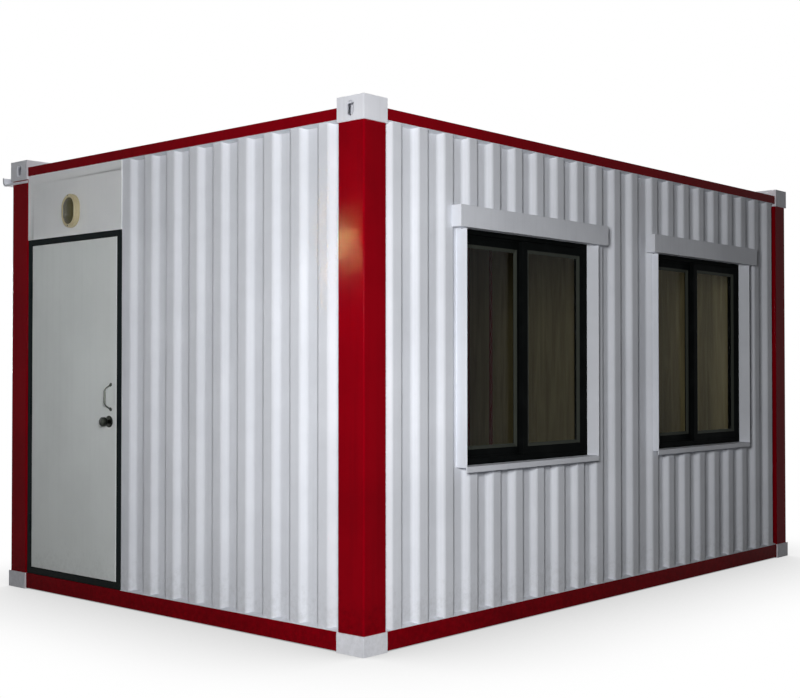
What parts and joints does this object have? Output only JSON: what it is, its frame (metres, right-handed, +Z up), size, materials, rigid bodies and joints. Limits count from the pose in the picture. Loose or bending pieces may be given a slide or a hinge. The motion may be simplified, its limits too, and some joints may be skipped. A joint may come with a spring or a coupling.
{
  "type": "shipping container cabin",
  "caption": "Steel container cabin with a red frame, corner castings, ribbed white walls, sliding windows under drip hoods and a hinged end door.",
  "frame": {"origin": "on the ground under the middle of the floor plan", "axes": "+X along the length away from the door end, +Y from the window wall to the rear, +Z up"},
  "size_m": [4.442, 3.148, 2.6],
  "materials": {
    "red_paint": "satin",
    "white_paint": "satin",
    "casting_paint": "satin",
    "black_paint": "satin",
    "black_aluminium": "satin",
    "window_glass": "gloss",
    "floor_board": "matte",
    "lining_board": "matte",
    "hinge_steel": "satin",
    "dark_lock": "satin",
    "handle_steel": "satin",
    "lamp_plastic": "satin",
    "lamp_lens": "gloss"
  },
  "bodies": {
    "cabin": {"bottom_castings": "casting_paint", "top_castings": "casting_paint", "corner_posts": "red_paint", "bottom_rails": "red_paint", "top_rails": "red_paint", "floor_joists": "red_paint", "floor_deck": "floor_board", "front_wall_left": "white_paint", "front_wall_right": "white_paint", "rear_wall": "white_paint", "right_end_wall": "white_paint", "door_end_wall": "white_paint", "transom_panel": "white_paint", "roof_sheet": "white_paint", "ceiling_board": "lining_board", "front_lining": "lining_board", "rear_lining": "lining_board", "right_end_lining": "lining_board", "door_end_lining": "lining_board", "window_1_surround": "white_paint", "window_1_hood": "white_paint", "window_1_frame": "black_aluminium", "window_1_sashes": "black_aluminium", "window_1_glass": "window_glass", "window_2_surround": "white_paint", "window_2_hood": "white_paint", "window_2_frame": "black_aluminium", "window_2_sashes": "black_aluminium", "window_2_glass": "window_glass", "door_frame": "black_paint", "frame_hinges": "hinge_steel", "lamp_body": "lamp_plastic", "lamp_glass": "lamp_lens", "rear_gutter": "casting_paint", "gutter_straps": "casting_paint"},
    "door": {"door_leaf": "white_paint", "leaf_hinges": "hinge_steel", "lock_roses": "dark_lock", "pull_handle": "handle_steel"},
    "knob": {"door_knob": "dark_lock"}
  },
  "joints": [
    {"name": "door_swing", "type": "hinge", "parent": "cabin", "child": "door", "pos_m": [-2.1933, 1.2775, 0], "axis": [0, 0, -1], "range_deg": [0, 170]},
    {"name": "knob_turn", "type": "hinge", "parent": "door", "child": "knob", "pos_m": [-2.186, 0.488, 1.031], "axis": [-1, 0, 0], "range_deg": [-60, 60], "stiffness_Nm_per_rad": 0.2}
  ]
}
